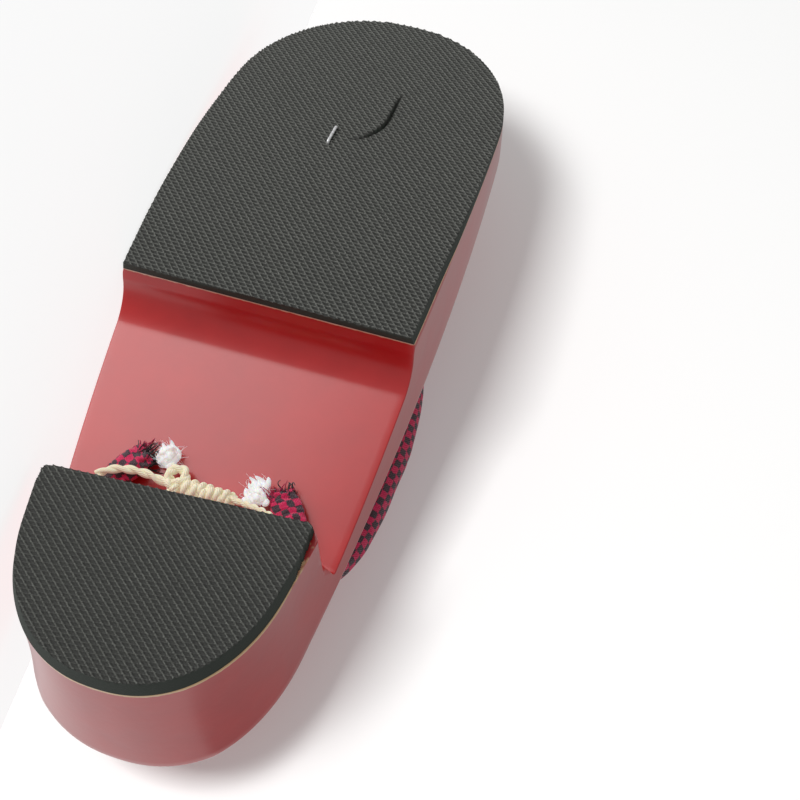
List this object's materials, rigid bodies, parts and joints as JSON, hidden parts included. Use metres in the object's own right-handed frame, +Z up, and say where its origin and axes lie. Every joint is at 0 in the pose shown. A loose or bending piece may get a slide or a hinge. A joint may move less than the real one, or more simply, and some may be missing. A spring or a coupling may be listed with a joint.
{
  "type": "geta sandal",
  "caption": "Low lacquered wooden geta with heel and forefoot blocks joined by an arch, rubber soles and a padded check-cloth thong, lying on its side.",
  "frame": {"origin": "middle of the bounding box at its base, on the floor that the sandal lies on", "axes": "+X towards the heel, +Y the way the footbed faces, +Z up, towards the wearer's left side of the sandal"},
  "size_m": [0.2414, 0.0608, 0.0883],
  "materials": {
    "lacquered_wood": "smooth glossy red lacquer over wood",
    "sponge_rubber": "matt dark grey sponge rubber with a fine lattice tread",
    "check_cloth": "small check weave in crimson and charcoal",
    "loop_cloth": "plain crimson cloth tube",
    "cotton_wadding": "loose white cotton fibre",
    "twisted_cord": "cream two-ply twisted cord",
    "steel_wire": "bright wire"
  },
  "bodies": {
    "root": {"dai": "lacquered_wood", "heel_rubber": "sponge_rubber", "front_rubber": "sponge_rubber", "hanao": "check_cloth", "toe_loop": "loop_cloth", "strap_end_right": "check_cloth", "strap_end_left": "check_cloth", "wadding_right": "cotton_wadding", "wadding_left": "cotton_wadding", "tie_cord": "twisted_cord", "staple": "steel_wire"}
  },
  "joints": []
}
